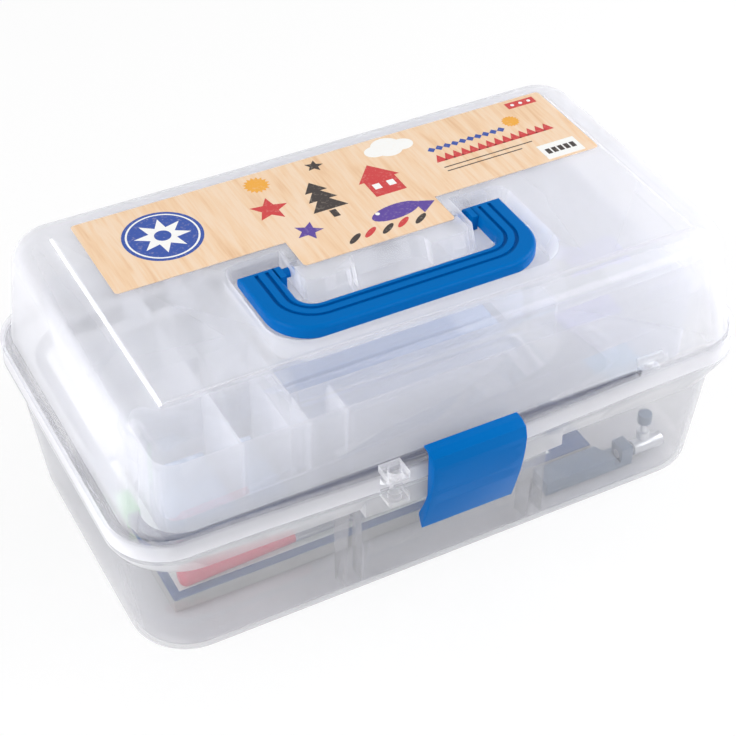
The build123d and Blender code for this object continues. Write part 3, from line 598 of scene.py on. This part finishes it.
def drawn_along_grain(material, place, size_mm, squeeze, detail, distortion):
    """Noise drawn out along the grain, which runs across the sheet at a slight turn."""
    along = node(material, "Mapping", {"Vector": place, "Rotation": (0, 0, GRAIN_TURN),
                                       "Scale": (1, squeeze, 1)})
    return node(material, "TexNoise", {
        "Vector": along.outputs[0], "Scale": 1 / (size_mm * MM), "Detail": detail,
        "Distortion": distortion}).outputs["Fac"]


def wood_print(name):
    """Glossy paper printed with pale wood."""
    material = new_material(name)
    place = node(material, "TexCoord", {}).outputs["Object"]
    streaks = drawn_along_grain(material, place, STREAK_MM, 0.12, detail=3.0, distortion=0.6)
    pores = drawn_along_grain(material, place, PORE_MM, 0.05, detail=2.0, distortion=0.0)
    both = node(material, "Mix", {0: 0.35, 2: streaks, 3: pores}, data_type="FLOAT")
    ramp = node(material, "ValToRGB", {"Fac": both.outputs[0]})
    colour = through_stops(
        ramp, [(0.3, "#E6BC93"), (0.45, "#F0CDA8"), (0.6, "#F3D8BC"), (0.75, "#EECAA4")])
    shader = node(material, "BsdfPrincipled", {"Base Color": colour, **GLOSSY_PRINT})
    return finish_with(material, shader.outputs[0])


softened("lid_sheet", "lid", wood_print("wood_print_on_paper"))


# %% [markdown]
# ## Motifs on the sheet
#
# The sheet shows what can be sawn with such a set: plain silhouettes in strong ink on the wood, a
# round badge with a flower, rows of teeth and diamonds, two thin lines, a cloud and two small fields.
# Each motif starts as a filled circle with few corners. Three corners make a gable or a branch of a
# fir, and a star or a flower comes from pulling every second corner inwards.
#
# A real print has no height, but two flat faces in one plane flicker. So each motif has the thickness
# of a layer of ink and stands on the paper or on another motif. Motifs of one colour are joined into
# one piece, and where they overlap they stand a quarter of a layer apart.

# %% Ink
SHEET_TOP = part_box("lid_sheet")[1].z
INK_LAYER_MM = 0.06
QUARTER = 0.25
FIBRE_MM = 1.5
# Where the ink is thin, the pale paper shows through it.
THIN_INK = "#F3E3CF"
printed = {}
print("The sheet's top is at", round(SHEET_TOP / MM, 2), "mm")


def ink(name, hex_colour):
    """Glossy printing ink, a little uneven where the paper's fibres take less of it."""
    material = new_material(name)
    place = node(material, "TexCoord", {}).outputs["Object"]
    fibres = node(material, "TexNoise", {"Vector": place, "Scale": 1 / (FIBRE_MM * MM),
                                         "Detail": 3.0})
    pale = node(material, "MapRange", {"Value": fibres.outputs["Fac"], "From Min": 0.55,
                                       "From Max": 0.8, "To Min": 0.0, "To Max": 0.25})
    colour = node(material, "Mix", {0: pale.outputs["Result"], 6: linear(hex_colour),
                                    7: linear(THIN_INK)}, data_type="RGBA")
    shader = node(material, "BsdfPrincipled", {"Base Color": colour.outputs[2], **GLOSSY_PRINT})
    return finish_with(material, shader.outputs[0])


# %% Shapes of ink
def on_sheet(place_mm, layer):
    """The point on top of a layer of ink, in metres."""
    return place_mm[0] * MM, place_mm[1] * MM, SHEET_TOP + layer * INK_LAYER_MM * MM


def as_ink(colour, shape, place, stretch, turn):
    """Stretches and turns a flat shape about its own place, and gives it the thickness of ink."""
    bpy.ops.object.mode_set(mode="EDIT")
    bpy.ops.mesh.select_all(action="SELECT")
    bpy.ops.transform.resize(value=(stretch[0], stretch[1], 1), center_override=place)
    bpy.ops.transform.rotate(value=math.radians(turn), orient_axis="Z", center_override=place)
    bpy.ops.mesh.extrude_region_move(
        TRANSFORM_OT_translate={"value": (0, 0, -INK_LAYER_MM * MM)})
    bpy.ops.mesh.select_all(action="SELECT")
    bpy.ops.mesh.normals_make_consistent(inside=False)
    bpy.ops.object.mode_set(mode="OBJECT")
    bpy.ops.object.transform_apply(location=True, rotation=False, scale=False)
    printed.setdefault(colour, []).append(shape)


def motif(colour, corners, radius_mm, place_mm, stretch=(1, 1), turn=0, pull=1.0, layer=1):
    """One printed shape: a circle with few corners, every second one pulled in."""
    place = on_sheet(place_mm, layer)
    bpy.ops.object.select_all(action="DESELECT")
    bpy.ops.mesh.primitive_circle_add(vertices=corners, radius=radius_mm * MM, fill_type="NGON",
                                      location=place)
    shape = bpy.context.active_object
    bpy.ops.object.mode_set(mode="EDIT")
    bpy.ops.mesh.select_mode(type="VERT")
    bpy.ops.mesh.select_all(action="DESELECT")
    bpy.ops.object.mode_set(mode="OBJECT")
    for vertex in shape.data.vertices:
        vertex.select = vertex.index % 2 == 1
    bpy.ops.object.mode_set(mode="EDIT")
    bpy.ops.transform.resize(value=(pull, pull, 1), center_override=place)
    bpy.ops.object.mode_set(mode="OBJECT")
    as_ink(colour, shape, place, stretch, turn)


def field(colour, width_mm, height_mm, place_mm, layer=1):
    """One printed rectangle."""
    place = on_sheet(place_mm, layer)
    bpy.ops.object.select_all(action="DESELECT")
    bpy.ops.mesh.primitive_plane_add(size=MM, location=place)
    as_ink(colour, bpy.context.active_object, place, (width_mm, height_mm), turn=0)


# %% Badge with a flower
BADGE_MM = (-91, 40)
motif("blue", 48, 20, BADGE_MM)
motif("white", 48, 18.2, BADGE_MM, layer=2)
motif("blue", 48, 17.2, BADGE_MM, layer=3)
motif("white", 16, 14, BADGE_MM, turn=11, pull=0.5, layer=4)
motif("blue", 24, 4.2, BADGE_MM, layer=5)

# %% Fir and house
for branch, (row, size) in enumerate(((27, 11), (35, 9), (42, 7))):
    motif("dark", 3, size, (-9, row), stretch=(1.0, 0.8), layer=1 + branch * QUARTER)
field("dark", 3.5, 6, (-9, 18.5))
field("red", 17, 14, (24, 28))
motif("red", 3, 12, (24, 39), stretch=(1.1, 0.75), layer=1 + QUARTER)
for window_x in (20, 28):
    field("white", 4, 4.5, (window_x, 29), layer=2)

# %% Fish, stars and sun
motif("purple", 24, 9, (18, 6), stretch=(1.5, 0.62), turn=-6)
motif("purple", 3, 6.5, (33, 4.5), turn=84, layer=1 + QUARTER)
motif("white", 12, 1.2, (9, 8), layer=2)
motif("red", 10, 10, (-36, 36), turn=12, pull=0.45)
motif("purple", 10, 7.5, (-27, 11), turn=30, pull=0.45)
motif("dark", 10, 5, (0, 60), turn=20, pull=0.45)
motif("orange", 32, 7, (-33, 58), pull=0.75)

# %% Row of leaves
LEAF_STEP_MM, LEAF_SHIFT_MM = 9, 1.2
for step in range(5):
    odd = step % 2
    motif("red" if odd else "dark", 16, 4.5,
          (-10 + LEAF_STEP_MM * step, -5 + LEAF_SHIFT_MM * odd), stretch=(1.1, 0.35), turn=-35)

# %% Cloud, and the rows and lines at the right
for puff, (x, y, radius) in enumerate(((34, 57, 5.5), (41, 60, 7), (49, 57, 5.5), (41, 55, 6))):
    motif("white", 24, radius, (x, y), stretch=(1.15, 0.9), layer=1 + puff * QUARTER)
ROWS_LEFT_MM, TOOTH_STEP_MM, DIAMOND_STEP_MM = 60, 4.9, 4.6
for tooth in range(14):
    motif("red", 3, 3.6, (ROWS_LEFT_MM + TOOTH_STEP_MM * tooth, 35.5), stretch=(1, 1.2))
for diamond in range(10):
    motif("blue", 4, 2.3, (ROWS_LEFT_MM + DIAMOND_STEP_MM * diamond, 45))
field("dark", 52, 0.7, (84, 28))
field("dark", 44, 0.7, (80, 24.5))
motif("orange", 32, 5, (110, 49.5), pull=0.8)

# %% Two small fields
field("white", 22, 13, (120, 16))
for square in range(5):
    field("dark", 2.6, 4.5, (112.8 + 3.6 * square, 16), layer=2)
field("red", 17, 5.5, (124, 62.5))
for dot in range(3):
    motif("white", 12, 1.1, (119 + 5 * dot, 62.5), layer=2)
print("Motifs of each colour:", {colour: len(shapes) for colour, shapes in printed.items()})


# %% Colours of ink
def join_print(colour, material):
    """Joins the motifs of one colour and sticks them to the lid."""
    bpy.ops.object.select_all(action="DESELECT")
    for shape in printed[colour]:
        shape.select_set(True)
    bpy.context.view_layer.objects.active = printed[colour][0]
    bpy.ops.object.join()
    piece = bpy.context.active_object
    piece.name = colour + "_print"
    placed(piece, "lid", material)


join_print("blue", ink("blue_printing_ink", "#2B4FA6"))
join_print("white", ink("white_printing_ink", "#F7F7F5"))
join_print("red", ink("red_printing_ink", "#CF3A3C"))
join_print("dark", ink("dark_printing_ink", "#3B3230"))
join_print("purple", ink("purple_printing_ink", "#5A3F9C"))
join_print("orange", ink("orange_printing_ink", "#EFAA3A"))


# %% [markdown]
# ## Studio
#
# The picture was taken on white. The floor is a white sheet that still takes a soft shadow, and where
# the camera sees past it there is white all round. A pure white floor would wipe out the shadow, and
# a lit one alone would be grey, so the paper mixes both. Under the case's foot it is only lit,
# because there the floor is seen through the plastic and is greyer.

# %% Floor
FLOOR_SIZE = 6.0
FLOOR_DROP = 0.3 * MM
PLAIN_WHITE_SHARE = 0.8
FOOT_HALF_MM, FOOT_CORNER_MM, FOOT_EDGE_MM = (157, 84), 38, 6


def any_ray(owner, *kinds):
    """1 for rays of these kinds, and 0 for all others."""
    path = node(owner, "LightPath", {})
    found = path.outputs[kinds[0]]
    for kind in kinds[1:]:
        found = node(owner, "Math", {0: found, 1: path.outputs[kind]},
                     operation="MAXIMUM").outputs[0]
    return found


def past_the_foot(material, value):
    """0 under the case's foot, a rectangle with round corners, and a value past its edge."""
    place = node(material, "TexCoord", {}).outputs["Object"]
    along = node(material, "SeparateXYZ", {"Vector": place})
    past = {}
    for axis, half_mm in zip("XY", FOOT_HALF_MM):
        away = node(material, "Math", {0: along.outputs[axis]}, operation="ABSOLUTE")
        beyond = node(material, "Math", {0: away.outputs[0], 1: (half_mm - FOOT_CORNER_MM) * MM},
                      operation="SUBTRACT")
        past[axis] = node(material, "Math", {0: beyond.outputs[0], 1: 0.0},
                          operation="MAXIMUM").outputs[0]
    corner = node(material, "CombineXYZ", past)
    distance = node(material, "VectorMath", {0: corner.outputs[0]}, operation="LENGTH")
    return node(material, "MapRange", {
        "Value": distance.outputs["Value"], "From Min": (FOOT_CORNER_MM - FOOT_EDGE_MM) * MM,
        "From Max": FOOT_CORNER_MM * MM, "To Min": 0.0, "To Max": value}).outputs["Result"]


def backdrop_paper(name):
    """White paper that is partly plain white to what sees it, but not under the case."""
    material = new_material(name)
    seen = any_ray(material, "Is Camera Ray", "Is Transmission Ray", "Is Glossy Ray")
    open_share = past_the_foot(material, PLAIN_WHITE_SHARE)
    lit = node(material, "BsdfDiffuse", {"Color": linear("#F8F8F8")})
    white = node(material, "Emission", {"Color": linear("#FFFFFF"), "Strength": 1.0})
    fade = node(material, "Math", {0: seen, 1: open_share}, operation="MULTIPLY")
    mixed = node(material, "MixShader", {0: fade.outputs[0], 1: lit.outputs[0],
                                         2: white.outputs[0]})
    return finish_with(material, mixed.outputs[0])


bpy.ops.object.select_all(action="DESELECT")
bpy.ops.mesh.primitive_plane_add(size=FLOOR_SIZE, location=(0, 0, -FLOOR_DROP))
floor = bpy.context.active_object
floor.name = "white_floor"
floor.data.materials.append(backdrop_paper("white_background_paper"))

# %% World
# The world lights the case with half of the white that the camera sees.
WORLD_LIGHT, WORLD_SEEN = 0.5, 1.0
world = bpy.data.worlds.new("studio")
bpy.context.scene.world = world
world.use_nodes = True
seen = any_ray(world, "Is Camera Ray", "Is Transmission Ray")
strength = node(world, "MapRange", {"Value": seen, "To Min": WORLD_LIGHT, "To Max": WORLD_SEEN})
background = world.node_tree.nodes["Background"]
background.inputs["Color"].default_value = linear("#FFFFFF")
world.node_tree.links.new(strength.outputs["Result"], background.inputs["Strength"])
print("World strength:", WORLD_LIGHT, "as light and", WORLD_SEEN, "as seen")


# %% [markdown]
# ## Lamps
#
# The case's two ends are its brightest sides and the front is greyer, so one large lamp stands at
# each end. A third one hangs above and behind, and a smaller one at the front right draws the light
# line along the latch's bend.

# %% Softboxes
CASE_MIDDLE_Z, TRAY_Z = 0.08, 0.1


def softbox(name, place, width, height, power, aim_z=CASE_MIDDLE_Z):
    """A rectangular studio lamp that faces a point in the middle of the case."""
    data = bpy.data.lights.new(name, "AREA")
    data.shape = "RECTANGLE"
    data.size, data.size_y, data.energy = width, height, power
    lamp = bpy.data.objects.new(name, data)
    bpy.context.scene.collection.objects.link(lamp)
    lamp.location = place
    way = Vector((0, 0, aim_z)) - Vector(place)
    lamp.rotation_euler = way.to_track_quat("-Z", "Y").to_euler()
    print(name, "shines with", power, "W from", round(way.length, 2), "m")


softbox("left_softbox", (-1.3, -0.1, 0.75), width=0.9, height=0.9, power=11.5)
softbox("right_softbox", (1.35, -0.3, 0.7), width=0.9, height=0.9, power=13.5)
softbox("top_softbox", (0.1, 0.5, 1.5), width=1.2, height=1.0, power=1.8, aim_z=TRAY_Z)
softbox("front_right_softbox", (0.75, -1.2, 0.95), width=0.6, height=0.6, power=5)


# %% [markdown]
# ## Camera
#
# The camera looks down at the case from the front left. Its place, turn and lens were worked out from
# the case's edges in the photograph.

# %% Camera
CAMERA_PLACE = (-0.3273, -0.6221, 0.6584)
CAMERA_YAW, CAMERA_PITCH = math.radians(27.75), math.radians(39.93)
LENS_MM, SENSOR_MM = 87.37, 36
SHIFT_X, SHIFT_Y = -0.00112, -0.01703
camera_data = bpy.data.cameras.new("camera")
camera_data.lens = LENS_MM
camera_data.sensor_width = SENSOR_MM
camera_data.shift_x = SHIFT_X
camera_data.shift_y = SHIFT_Y
camera = bpy.data.objects.new("camera", camera_data)
bpy.context.scene.collection.objects.link(camera)
camera.location = CAMERA_PLACE
camera.rotation_euler = (math.pi / 2 - CAMERA_PITCH, 0, -CAMERA_YAW)
bpy.context.scene.camera = camera
bpy.context.scene.view_settings.view_transform = "Standard"
print("Camera with a lens of", LENS_MM, "mm")
